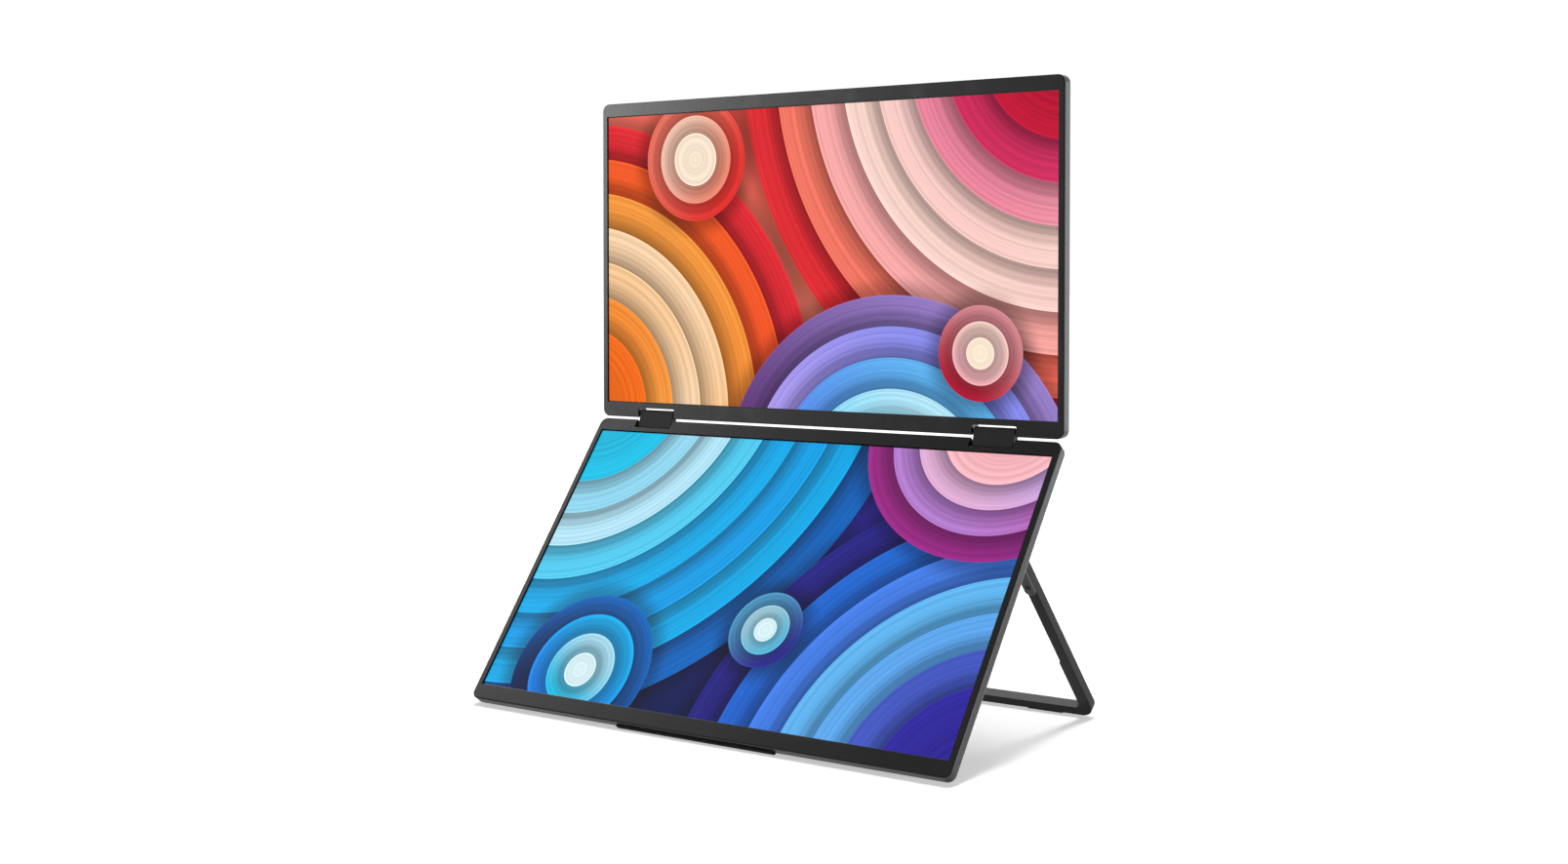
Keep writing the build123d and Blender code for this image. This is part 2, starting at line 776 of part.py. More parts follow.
# Flat cable from the main board through the bay and down to the lower driver board
cable_x = cable_end_gap + cable_width / 2 - lower_driver_length / 2
cable_floor = lower.floor_front - cable_sheet / 2
cable_start = lower_depth - cable_sheet / 2
cable_end = lower.floor_front - board_sheet - cable_sheet / 2
cable_landing = lower.from_screen(-driver_edge)
with BuildPart() as lower_display_cable:
    with BuildSketch(cross_plane(lower_plane, cable_x - cable_width / 2)):
        with BuildLine():
            Polyline(
                (board_bottom + cable_bond, -cable_start),
                (board_bottom, -cable_start),
                (board_bottom - cable_bond, -cable_floor),
                (cable_landing + cable_bond / 2, -cable_floor),
                (cable_landing + cable_sheet, -cable_end),
                (cable_landing - flex_foot, -cable_end),
            )
        trace(line_width=cable_sheet)
    extrude(amount=cable_width)
keep("lower_display_cable", lower_display_cable.part)

# Buttons and their board, on the housing's right side
flange_outer = housing_inner_half - button_stop_gap
flange_inner = flange_outer - button_flange_depth
switch_outer = flange_inner - button_travel - switch_gap
with BuildPart() as button_board:
    with BuildSketch(lower.behind(lower_depth)) as board_outline:
        draw_span(
            switch_outer - button_board_width, switch_outer, board_top - button_board_height, board_top
        )
        fillet(board_outline.vertices(), board_corner)
    extrude(amount=-main_board_sheet)
    with BuildSketch(lower.behind(lower_depth + main_board_sheet)):
        for place in button_places:
            draw_span(
                switch_outer - switch_depth, switch_outer, place - switch_length / 2,
                place + switch_length / 2,
            )
    extrude(amount=-switch_rise)
keep("button_board", button_board.part)

for name, place in zip(button_names, button_places):
    with BuildPart() as button:
        with BuildSketch(cross_plane(lower_plane, flange_inner)):
            with Locations((place, -inlet_depth)):
                RectangleRounded(button_length, button_height, button_corner)
        extrude(amount=housing_half + button_proud - flange_inner)
        with BuildSketch(cross_plane(lower_plane, flange_inner)):
            with Locations((place, -inlet_depth)):
                Rectangle(button_length + 2 * button_flange, button_height)
        extrude(amount=button_flange_depth)
    keep(name, button.part)

# Hinge links: a front half and a rear half clamped on the two shafts
link_screw_points = [(end * link_screw_spread / 2, axis_spacing / 2) for end in (-1, 1)]
link_back = Plane(link_plane.offset(-link_radius).origin, x_dir=(-1, 0, 0), z_dir=-link_plane.z_dir)
for side_name, side in sides.items():
    screw_points = [(side * hinge_spread + x, y) for x, y in link_screw_points]
    for half_name, half in (("hinge_link_", Keep.TOP), ("hinge_clamp_", Keep.BOTTOM)):
        with BuildPart() as link:
            with BuildSketch(cross_plane(link_plane, side * hinge_spread - link_width / 2)):
                with Locations((axis_spacing / 2, 0)):
                    RectangleRounded(axis_spacing + 2 * link_radius, 2 * link_radius, link_corner)
            extrude(amount=link_width)
            ends = link.faces().sort_by(Axis.X)
            fillet(ends[0].edges() + ends[-1].edges(), link_edge_radius)
            with BuildSketch(cross_plane(link_plane, side * hinge_spread - link_width / 2)):
                with Locations((0, 0), (axis_spacing, 0)):
                    Circle(shaft_radius + bore_clearance)
            extrude(amount=link_width, mode=Mode.SUBTRACT)
            with Locations(link_back):
                with Locations(*[(-x, y) for x, y in screw_points]):
                    CounterBoreHole(
                        link_screw_radius + screw_fit, link_screw_head_radius + screw_passage,
                        link_screw_sink, link_radius + link_screw_reach,
                    )
            split(bisect_by=link_plane, keep=half)
        keep(half_name + side_name, link.part)
keep("hinge_link_screws", make_screws(
    link_back.offset(-link_screw_sink),
    [(side * hinge_spread + x, y) for side in sides.values() for x, y in link_screw_points],
    link_radius - link_screw_sink + link_screw_reach,
    link_screw_radius, link_screw_head_radius, link_screw_head_height))

# Kickstand: U frame, hinge leaves, pins, bases and foot pads
leaf_screw_drops = (leaf_screw_first, leaf_screw_second)
leaf_middle = stand_width / 2 - leg_width / 2
leaf_screw_points = [(side * leaf_middle, -drop) for side in sides.values() for drop in leaf_screw_drops]
gap_width = 2 * leg_inner
gap_base = leg_width - stand_length
with BuildPart() as kickstand_frame:
    with BuildSketch(stand_plane.offset(-leg_front)) as frame_outline:
        draw_span(-stand_width / 2, stand_width / 2, -stand_length, -leg_top_gap)
        fillet(frame_outline.vertices().group_by(Axis.Y)[0], stand_corner_radius)
        draw_span(
            -leg_inner, leg_inner, grip_height - stand_length, cut_overrun, mode=Mode.SUBTRACT
        )
        with Locations((0, gap_base)):
            RectangleRounded(
                gap_width - 2 * grip_step, grip_height, stand_inner_radius,
                align=(Align.CENTER, Align.MIN), mode=Mode.SUBTRACT,
            )
    extrude(amount=leg_depth)
    stand_axis = Axis(stand_plane.origin, stand_plane.z_dir)
    stand_faces = kickstand_frame.faces().sort_by(stand_axis)
    fillet(stand_faces[0].edges() + stand_faces[-1].edges(), leg_edge_radius)
    with Locations(stand_plane.offset(leg_front)):
        with Locations(*leaf_screw_points):
            Hole(screw_radius + screw_fit, leaf_screw_reach + screw_fit)
    # Seats for the foot pads, along the front lower corner of the bar
    for side in sides.values():
        with BuildSketch(cross_plane(stand_plane, side * pad_spread - pad_length / 2)):
            draw_span(-stand_length, pad_seat - stand_length, leg_front - pad_width, leg_front)
        extrude(amount=pad_length, mode=Mode.SUBTRACT)
keep("kickstand_frame", kickstand_frame.part)

with BuildPart() as stand_foot_pads:
    for side in sides.values():
        with BuildSketch(cross_plane(stand_plane, side * pad_spread - pad_length / 2)):
            draw_span(
                -stand_length - pad_proud, pad_seat - stand_length, leg_front - pad_width, leg_front
            )
        extrude(amount=pad_length)
    split(bisect_by=Plane.XY, keep=Keep.TOP)
keep("stand_foot_pads", stand_foot_pads.part)

for side_name, side in sides.items():
    with BuildPart() as leaf:
        with BuildSketch(cross_plane(stand_plane, side * leg_inner)):
            Circle(knuckle_radius)
            draw_span(-knuckle_radius, 0, 0, leg_front + leaf_sheet)
            Circle(pin_radius + bore_clearance, mode=Mode.SUBTRACT)
        extrude(amount=side * knuckle_width)
        with BuildSketch(stand_plane.offset(leg_front)):
            with Locations((side * leaf_middle, leg_width / 2 - leaf_length)):
                Circle(leg_width / 2)
            draw_span(
                side * leg_inner, side * stand_width / 2, leg_width / 2 - leaf_length, -knuckle_radius
            )
        extrude(amount=leaf_sheet)
        with BuildSketch(stand_plane.offset(leg_front)):
            draw_span(side * leg_inner, side * (leg_inner + knuckle_width), -knuckle_radius, 0)
        extrude(amount=leaf_sheet)
        with Locations(stand_plane.offset(leg_front + leaf_sheet)):
            with Locations(*[point for point in leaf_screw_points if point[0] * side > 0]):
                CounterSinkHole(
                    screw_radius + screw_passage, screw_head_radius + screw_passage, leaf_sheet
                )
    keep("stand_hinge_leaf_" + side_name, leaf.part)

    with BuildPart() as pin:
        with BuildSketch(cross_plane(stand_plane, side * (base_outer - knuckle_width))):
            Circle(pin_radius)
        extrude(amount=side * (2 * knuckle_width + knuckle_gap))
    keep("stand_pin_" + side_name, pin.part)

    with BuildPart() as stand_base:
        with BuildSketch(lower.behind(lower_depth)):
            with Locations((side * (base_inner + base_outer) / 2, pivot_height)):
                RectangleRounded(base_width, base_length, base_corner)
        extrude(amount=-base_sheet)
        with BuildSketch(cross_plane(lower_plane, side * (base_outer - knuckle_width))):
            with Locations((pivot_height, -pivot_depth)):
                Circle(knuckle_radius)
            draw_span(
                pivot_height - knuckle_radius, pivot_height + knuckle_radius, -pivot_depth, -lower_depth
            )
            with Locations((pivot_height, -pivot_depth)):
                Circle(pin_radius + screw_fit, mode=Mode.SUBTRACT)
        extrude(amount=side * knuckle_width)
        with Locations(lower.facing_back(lower_depth + base_sheet)):
            with Locations(*[(-x, y) for x, y in base_screw_points if x * side > 0]):
                Hole(screw_radius + screw_passage, base_sheet)
    keep("stand_hinge_base_" + side_name, stand_base.part)

keep("stand_base_screws", make_screws(
    lower.facing_back(lower_depth + base_sheet), [(-x, y) for x, y in base_screw_points],
    base_sheet + base_screw_reach))

# Countersunk screws of the hinge leaves
sink_height = screw_head_radius - screw_radius
with BuildPart(stand_plane.offset(leg_front + leaf_sheet)) as stand_leaf_screws:
    with Locations(*leaf_screw_points):
        Cylinder(
            screw_radius, leaf_sheet + leaf_screw_reach, align=(Align.CENTER, Align.CENTER, Align.MAX)
        )
        Cone(
            screw_radius, screw_head_radius, sink_height, align=(Align.CENTER, Align.CENTER, Align.MAX)
        )
    with BuildSketch(stand_plane.offset(leg_front + leaf_sheet)):
        with Locations(*leaf_screw_points):
            Rectangle(2 * screw_head_radius * screw_recess_share, screw_recess_width)
            Rectangle(screw_recess_width, 2 * screw_head_radius * screw_recess_share)
    extrude(amount=-screw_recess_depth, mode=Mode.SUBTRACT)
keep("stand_leaf_screws", stand_leaf_screws.part)

os.makedirs("parts", exist_ok=True)
for name, piece in finished.items():
    export_step(piece, f"parts/{name}.step")
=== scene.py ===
"""Looks of a dual-screen portable monitor: finishes, lit screens, small fittings, studio and camera."""
import json
import logging
import math
from dataclasses import dataclass
from enum import Enum

import bmesh
import bpy
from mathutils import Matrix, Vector


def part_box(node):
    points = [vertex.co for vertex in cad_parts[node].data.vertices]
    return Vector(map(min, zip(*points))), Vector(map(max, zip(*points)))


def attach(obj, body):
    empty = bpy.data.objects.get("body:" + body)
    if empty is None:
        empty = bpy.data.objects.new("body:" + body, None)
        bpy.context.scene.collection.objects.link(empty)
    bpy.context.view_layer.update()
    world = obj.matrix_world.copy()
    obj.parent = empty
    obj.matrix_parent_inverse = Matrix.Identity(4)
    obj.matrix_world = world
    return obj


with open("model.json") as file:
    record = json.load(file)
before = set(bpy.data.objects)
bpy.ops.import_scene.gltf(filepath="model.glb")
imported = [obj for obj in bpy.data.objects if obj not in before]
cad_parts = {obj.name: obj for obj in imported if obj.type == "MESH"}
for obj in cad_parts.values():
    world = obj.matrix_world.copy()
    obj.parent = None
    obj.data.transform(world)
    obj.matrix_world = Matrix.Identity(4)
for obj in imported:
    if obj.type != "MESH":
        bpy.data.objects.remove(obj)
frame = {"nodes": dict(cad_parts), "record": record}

logging.basicConfig(level=logging.INFO, format="%(name)s: %(message)s")
log = logging.getLogger("monitor")

Colour = tuple[float, float, float]
Place = tuple[float, float, float]
Paint = tuple[float, float, float, float]
Feed = bpy.types.NodeSocket | float | tuple
Wiring = dict[str, bpy.types.NodeSocket]
MM = 0.001
WHITE: Paint = (1.0, 1.0, 1.0, 1.0)
BLACK: Paint = (0.0, 0.0, 0.0, 1.0)


class Port(Enum):
    """Kinds of socket on a node group."""

    VALUE = "NodeSocketFloat"
    COLOUR = "NodeSocketColor"
    VECTOR = "NodeSocketVector"


class Lay(Enum):
    """How the fine marks of a finish run over its surface, as stretches along X, Y and Z."""

    MOULDED = (1.0, 1.0, 1.0)
    BRUSHED_ALONG = (0.02, 1.0, 1.0)


class Bank(Enum):
    """Which edge of a glass cell carries its wide ledge."""

    TOP = 1
    BOTTOM = -1


class Throw(Enum):
    """What a lamp's light does on a surface."""

    MATT = "even light without reflections of the lamp"
    SHEEN = "reflections of the lamp alone"


class NodeSketch:
    """Short way to write the nodes of one tree."""

    def __init__(self, tree: bpy.types.NodeTree) -> None:
        """Keep the tree that the nodes go into."""
        self.tree = tree

    def feed(self, socket: bpy.types.NodeSocket, value: Feed) -> None:
        """Link a socket to another one, or set its own value.

        Args:
            socket: The input to fill.
            value: Another node's output, or a number, colour or vector.
        """
        if isinstance(value, bpy.types.NodeSocket):
            self.tree.links.new(value, socket)
        else:
            socket.default_value = value

    def node(self, kind: str, feeds: dict | None = None, **settings: object) -> bpy.types.Node:
        """Add a node.

        Args:
            kind: Blender's name of the node type.
            feeds: Values for its inputs, by name or number.
            settings: Values for its properties.

        Returns:
            The new node.
        """
        made = self.tree.nodes.new(kind)
        for key, value in settings.items():
            setattr(made, key, value)
        for key, value in (feeds or {}).items():
            self.feed(made.inputs[key], value)
        return made

    def math(self, operation: str, *values: Feed) -> bpy.types.NodeSocket:
        """Result of a math node on up to three values."""
        return self.node("ShaderNodeMath", dict(enumerate(values)), operation=operation).outputs[0]

    def vector(self, operation: str, *values: Feed) -> bpy.types.NodeSocket:
        """Result of a vector math node: a number for lengths and dot products, and else a vector."""
        made = self.node("ShaderNodeVectorMath", dict(enumerate(values)), operation=operation)
        return made.outputs["Value" if operation in ("LENGTH", "DOT_PRODUCT") else "Vector"]

    def span(self, value: Feed, low: Feed, high: Feed, start: Feed, end: Feed) -> bpy.types.NodeSocket:
        """A smooth step of a value.

        Args:
            value: The value that is read.
            low: Where the step begins.
            high: Where the step ends.
            start: The result up to low.
            end: The result from high on.

        Returns:
            The stepped value.
        """
        feeds = {"Value": value, "From Min": low, "From Max": high, "To Min": start, "To Max": end}
        return self.node("ShaderNodeMapRange", feeds, interpolation_type="SMOOTHSTEP").outputs["Result"]

    def mix(self, factor: Feed, first: Feed, second: Feed, blend: str = "MIX") -> bpy.types.NodeSocket:
        """Two colours mixed by a factor."""
        feeds = {0: factor, 6: first, 7: second}
        return self.node("ShaderNodeMix", feeds, data_type="RGBA", blend_type=blend).outputs[2]

    def noise(self, point: Feed, scale: Feed, detail: float, dimensions: str = "3D") -> bpy.types.NodeSocket:
        """Value of a noise texture, from 0 to 1.

        Args:
            point: Where it is read, a number for one dimension and else a vector.
            scale: How many lumps there are in one unit.
            detail: How many finer layers are added.
            dimensions: Blender's name of the number of dimensions.

        Returns:
            The noise.
        """
        place = "W" if dimensions == "1D" else "Vector"
        feeds = {place: point, "Scale": scale, "Detail": detail}
        return self.node("ShaderNodeTexNoise", feeds, noise_dimensions=dimensions).outputs[0]

    def grey(self, value: bpy.types.NodeSocket) -> bpy.types.NodeSocket:
        """A grey of the given brightness."""
        return self.node("ShaderNodeCombineColor", {0: value, 1: value, 2: value}).outputs[0]

    def place(self, group: bpy.types.NodeTree, feeds: dict) -> bpy.types.Node:
        """Place a node group and fill its inputs."""
        return self.node("ShaderNodeGroup", feeds, node_tree=group)


def start_material(name: str) -> tuple[bpy.types.Material, NodeSketch]:
    """Make an empty material.

    Args:
        name: The material's name.

    Returns:
        The material and the sketch of its nodes.
    """
    material = bpy.data.materials.new(name)
    material.use_nodes = True
    material.node_tree.nodes.clear()
    return material, NodeSketch(material.node_tree)


class EffectGroup:
    """A shader effect that several materials use, with named inputs and outputs."""

    name = "effect"
    inputs: dict[str, Port] = {}
    outputs: dict[str, Port] = {}

    def __init__(self) -> None:
        """Build the group once."""
        self.tree = bpy.data.node_groups.new(self.name, "ShaderNodeTree")
        for title, port in self.inputs.items():
            self.tree.interface.new_socket(name=title, in_out="INPUT", socket_type=port.value)
        for title, port in self.outputs.items():
            self.tree.interface.new_socket(name=title, in_out="OUTPUT", socket_type=port.value)
        sketch = NodeSketch(self.tree)
        entry = sketch.node("NodeGroupInput")
        results = self.draw(sketch, entry.outputs)
        sketch.node("NodeGroupOutput", results)

    def draw(self, sketch: NodeSketch, entry: bpy.types.NodeOutputs) -> Wiring:
        """Add the effect's nodes.

        Args:
            sketch: The group's tree.
            entry: The group's input sockets.

        Returns:
            The socket for each output.
        """
        raise NotImplementedError


class SurfaceGrain(EffectGroup):
    """Fine surface texture, slow changes of tone and faint smudges."""

    name = "surface_grain"
    inputs = {"Point": Port.VECTOR, "Stretch": Port.VECTOR, "Grain": Port.VALUE, "Patch": Port.VALUE}
    outputs = {"Height": Port.VALUE, "Tone": Port.VALUE, "Gloss": Port.VALUE}
    fine_detail = 3.0
    slow_detail = 2.0
    slow_share = 0.7
    fine_share = 0.3
    smudges_per_patch = 2.0
    smudge_low = 0.45
    smudge_high = 0.75

    def draw(self, sketch: NodeSketch, entry: bpy.types.NodeOutputs) -> Wiring:
        """Lay three noises over each other, at the sizes of a grain and of a patch.

        Args:
            sketch: The group's tree.
            entry: The group's input sockets.

        Returns:
            The texture's height, its tone and the mask of its smudges.
        """
        drawn = sketch.vector("MULTIPLY", entry["Point"], entry["Stretch"])
        fine = sketch.noise(drawn, sketch.math("DIVIDE", 1.0, entry["Grain"]), self.fine_detail)
        patch = sketch.math("DIVIDE", 1.0, entry["Patch"])
        slow = sketch.noise(entry["Point"], patch, self.slow_detail)
        spots = sketch.math("MULTIPLY", patch, self.smudges_per_patch)
        smudge = sketch.noise(entry["Point"], spots, self.fine_detail)
        gloss = sketch.span(smudge, self.smudge_low, self.smudge_high, 0.0, 1.0)
        slow_part = sketch.math("MULTIPLY", slow, self.slow_share)
        fine_part = sketch.math("MULTIPLY", fine, self.fine_share)
        return {"Height": fine, "Tone": sketch.math("ADD", slow_part, fine_part), "Gloss": gloss}


class EdgeWearAndHighlight(EffectGroup):
    """Mask of the outer edges, broken up where hands and cases rub them; the finishes lighten the colour
    there, partly as wear and partly as a painted highlight.
    """

    name = "edge_wear_and_highlight"
    inputs = {"Point": Port.VECTOR, "Width": Port.VALUE, "Patch": Port.VALUE}
    outputs = {"Edge": Port.VALUE}
    patch_share = 0.125
    samples = 6
    bend_low = 0.02
    bend_high = 0.25
    worn_detail = 2.0
    worn_low = 0.3
    worn_high = 0.7
    least_wear = 0.35

    def draw(self, sketch: NodeSketch, entry: bpy.types.NodeOutputs) -> Wiring:
        """Compare the surface's normal with one that is rounded over the edge's width.

        Args:
            sketch: The group's tree.
            entry: The group's input sockets.

        Returns:
            The mask, 1 on an edge, where the colour is lightened as wear and as a painted highlight.
        """
        rounded = sketch.node("ShaderNodeBevel", {"Radius": entry["Width"]}, samples=self.samples)
        flat = sketch.node("ShaderNodeNewGeometry")
        along = sketch.vector("DOT_PRODUCT", rounded.outputs["Normal"], flat.outputs["Normal"])
        bend = sketch.span(sketch.math("SUBTRACT", 1.0, along), self.bend_low, self.bend_high, 0.0, 1.0)
        worn = sketch.noise(entry["Point"], sketch.math("DIVIDE", 1.0, entry["Patch"]), self.worn_detail)
        broken = sketch.span(worn, self.worn_low, self.worn_high, self.least_wear, 1.0)
        return {"Edge": sketch.math("MULTIPLY", bend, broken)}


class PaperDisc(EffectGroup):
    """One disc of cut paper on the picture below it, in shares of the picture's height."""

    name = "paper_disc"
    inputs = {
        "Point": Port.VECTOR, "Centre": Port.VECTOR, "Radius": Port.VALUE, "Rise": Port.VECTOR,
        "Low": Port.COLOUR, "High": Port.COLOUR, "Below": Port.COLOUR,
    }
    outputs = {"Picture": Port.COLOUR}
    crisp = 0.0014
    shadow_reach = 0.075
    shadow_depth = 0.5
    strand_count = 70.0
    strand_detail = 3.0
    strand_low = 0.3
    strand_high = 0.7
    strand_depth = 0.14
    strand_gain = 0.07
    fold_reach = 0.16
    fold_depth = 0.15
    rim_reach = 0.006
    rim_light = 0.22

    def draw(self, sketch: NodeSketch, entry: bpy.types.NodeOutputs) -> Wiring:
        """Draw rim, strands and shadow by the distance from the centre, and colour by the rise.

        Args:
            sketch: The group's tree.
            entry: The group's input sockets.

        Returns:
            The picture with the disc on it.
        """
        away = sketch.vector("SUBTRACT", entry["Point"], entry["Centre"])
        distance = sketch.vector("LENGTH", away)
        beyond = sketch.math("SUBTRACT", distance, entry["Radius"])
        inside = sketch.span(beyond, -self.crisp, self.crisp, 1.0, 0.0)
        shade = sketch.span(beyond, 0.0, self.shadow_reach, 1.0 - self.shadow_depth, 1.0)
        climb = sketch.math("DIVIDE", sketch.vector("DOT_PRODUCT", away, entry["Rise"]), entry["Radius"])
        graded = sketch.mix(sketch.span(climb, -1.0, 1.0, 0.0, 1.0), entry["Low"], entry["High"])
        rounds = sketch.math("MULTIPLY", distance, self.strand_count)
        strand = sketch.noise(rounds, 1.0, self.strand_detail, "1D")
        lined = sketch.span(
            strand, self.strand_low, self.strand_high, 1.0 - self.strand_depth, 1.0 + self.strand_gain)
        # The paper bends down towards the next smaller disc and catches light along its rim
        fold = sketch.span(beyond, -self.fold_reach, 0.0, 1.0 - self.fold_depth, 1.0)
        rim = sketch.span(beyond, -self.rim_reach, 0.0, 0.0, self.rim_light)
        tone = sketch.math("ADD", sketch.math("MULTIPLY", lined, fold), rim)
        toned = sketch.mix(1.0, graded, sketch.grey(tone), "MULTIPLY")
        shaded = sketch.mix(1.0, entry["Below"], sketch.grey(shade), "MULTIPLY")
        return {"Picture": sketch.mix(inside, shaded, toned)}


@dataclass(frozen=True)
class Finish:
    """One finish of the monitor's own pieces, with sizes in metres."""

    name: str
    colour: Colour
    roughness: float
    metallic: float = 0.0
    specular: float = 0.5
    grain: float = 0.0004
    relief: float = 0.00002
    patch: float = 0.06
    tone_spread: float = 0.12
    gloss_spread: float = 0.08
    edge_width: float = 0.0004
    # Lightening of the colour on edges: partly wear, partly a painted highlight
    edge_wear_and_highlight_lift: float = 0.6
    coat: float = 0.0
    lay: Lay = Lay.MOULDED

    def shade(self, factor: float) -> Paint:
        """The finish's colour times a factor, with full alpha."""
        return (*(min(1.0, part * factor) for part in self.colour), 1.0)

    def make(self, grain: SurfaceGrain, edge: EdgeWearAndHighlight) -> bpy.types.Material:
        """Build the material.

        Args:
            grain: The shared surface texture.
            edge: The shared edge mask.

        Returns:
            The new material.
        """
        material, sketch = start_material(self.name)
        point = sketch.node("ShaderNodeTexCoord").outputs["Object"]
        texture = sketch.place(grain.tree, {
            "Point": point, "Stretch": self.lay.value, "Grain": self.grain, "Patch": self.patch})
        worn_and_highlit_edges = sketch.place(edge.tree, {
            "Point": point, "Width": self.edge_width, "Patch": self.patch * edge.patch_share})
        toned = sketch.mix(
            texture.outputs["Tone"], self.shade(1 - self.tone_spread), self.shade(1 + self.tone_spread))
        # Lighten the colour on the edges: partly wear, partly a painted highlight along the bevels
        base = sketch.mix(worn_and_highlit_edges.outputs["Edge"], toned, self.shade(1 + self.edge_wear_and_highlight_lift))
        rough = sketch.span(
            texture.outputs["Gloss"], 0.0, 1.0, self.roughness, self.roughness + self.gloss_spread)
        bump = sketch.node(
            "ShaderNodeBump", {"Height": texture.outputs["Height"], "Distance": self.relief, "Strength": 1.0})
        shader = sketch.node("ShaderNodeBsdfPrincipled", {
            "Base Color": base, "Roughness": rough, "Metallic": self.metallic,
            "Specular IOR Level": self.specular, "Coat Weight": self.coat, "Normal": bump.outputs["Normal"]})
        sketch.node("ShaderNodeOutputMaterial", {"Surface": shader.outputs["BSDF"]})
        return material


# Each finish's edge lift lightens its edges: partly wear, partly a painted highlight
FINISHES: dict[str, Finish] = {
    "bezel_plastic": Finish("satin_charcoal_bezel", (0.0074, 0.007, 0.0078), 0.34, specular=0.1,
                            grain=0.00035, relief=0.000012, edge_wear_and_highlight_lift=0.8),
    "case_shell": Finish("satin_graphite_case", (0.045, 0.045, 0.048), 0.3, metallic=0.75, specular=0.3,
                         grain=0.0003, relief=0.000008, gloss_spread=0.015, edge_wear_and_highlight_lift=0.4),
    "housing_plastic": Finish("sparked_black_housing", (0.016, 0.016, 0.017), 0.55,
                              grain=0.0006, relief=0.00006, gloss_spread=0.03, edge_wear_and_highlight_lift=0.8),
    "lcd_glass": Finish("dark_glass_cell", (0.004, 0.004, 0.005), 0.22, tone_spread=0.05),
    "diffuser_film": Finish("white_diffuser", (0.8, 0.8, 0.8), 0.6, tone_spread=0.03, edge_wear_and_highlight_lift=0.0),
    "guide_acrylic": Finish("clear_guide", (0.72, 0.78, 0.8), 0.15, coat=0.5, tone_spread=0.03),
    "tray_metal": Finish("bare_sheet_metal", (0.5, 0.5, 0.52), 0.38, metallic=1.0,
                         lay=Lay.BRUSHED_ALONG),
    "led_board": Finish("white_light_bar", (0.75, 0.74, 0.66), 0.5),
    "circuit_board": Finish("green_circuit_board", (0.012, 0.09, 0.035), 0.38, grain=0.0012,
                            relief=0.00004, tone_spread=0.3),
    "flex_film": Finish("amber_flex_film", (0.36, 0.16, 0.03), 0.35, tone_spread=0.15),
    "bracket_steel": Finish("stamped_steel", (0.42, 0.42, 0.44), 0.4, metallic=1.0,
                            lay=Lay.BRUSHED_ALONG),
    "shaft_steel": Finish("ground_steel", (0.32, 0.32, 0.34), 0.28, metallic=1.0),
    "screw_steel": Finish("black_zinc_screws", (0.018, 0.018, 0.02), 0.36, metallic=0.8, edge_wear_and_highlight_lift=1.5),
    "link_metal": Finish("matt_black_links", (0.0085, 0.0082, 0.009), 0.44, specular=0.16,
                         grain=0.0003, edge_wear_and_highlight_lift=1.6),
    "stand_metal": Finish("dark_anodised_stand", (0.011, 0.011, 0.012), 0.4, metallic=0.4, specular=0.12,
                          grain=0.0003, relief=0.00001, edge_wear_and_highlight_lift=1.0),
    "stand_hinge_metal": Finish("dark_coated_hinge", (0.036, 0.034, 0.032), 0.45, metallic=0.3,
                                edge_wear_and_highlight_lift=1.2),
    "foot_rubber": Finish("matt_rubber", (0.01, 0.01, 0.01), 0.85, specular=0.25, grain=0.0008,
                          relief=0.00008, edge_wear_and_highlight_lift=0.3),
    "inlet_metal": Finish("plated_inlet", (0.55, 0.55, 0.57), 0.3, metallic=1.0),
    "button_plastic": Finish("satin_button", (0.022, 0.022, 0.024), 0.42, edge_wear_and_highlight_lift=1.0),
}
CONTACT_GOLD = Finish("gold_contacts", (0.62, 0.42, 0.14), 0.28, metallic=1.0, tone_spread=0.06)
RAISED_MARK = Finish("pale_button_marks", (0.35, 0.35, 0.36), 0.5, tone_spread=0.05, edge_wear_and_highlight_lift=0.2)


@dataclass(frozen=True)
class Nest:
    """Discs about one centre of a screen's picture, in shares of the lit area's height."""

    across_share: float
    up_share: float
    radius_share: float
    step_share: float
    turn: float
    colours: tuple[Colour, ...]


@dataclass(frozen=True)
class Picture:
    """A screen's picture: two ground colours and the nests of discs on them, from the back to the front."""

    name: str
    ground_low: Colour
    ground_high: Colour
    nests: tuple[Nest, ...]


CRIMSON = (0.56, 0.008, 0.04)
SCARLET = (0.92, 0.035, 0.03)
ORANGE = (0.95, 0.16, 0.01)
AMBER = (0.95, 0.45, 0.08)
CREAM = (1.0, 0.83, 0.66)
CORAL = (0.96, 0.3, 0.2)
PINK = (1.0, 0.5, 0.55)
ROSE = (0.74, 0.05, 0.2)
PLUM = (0.1, 0.02, 0.16)
LILAC = (0.46, 0.34, 0.88)
PERIWINKLE = (0.1, 0.22, 0.85)
SKY = (0.14, 0.68, 0.98)
CYAN = (0.0, 0.56, 0.86)
AZURE = (0.0, 0.22, 0.84)
NAVY = (0.002, 0.008, 0.07)
INDIGO = (0.03, 0.02, 0.36)
ICE = (0.7, 0.9, 0.95)
MAGENTA = (0.5, 0.02, 0.3)

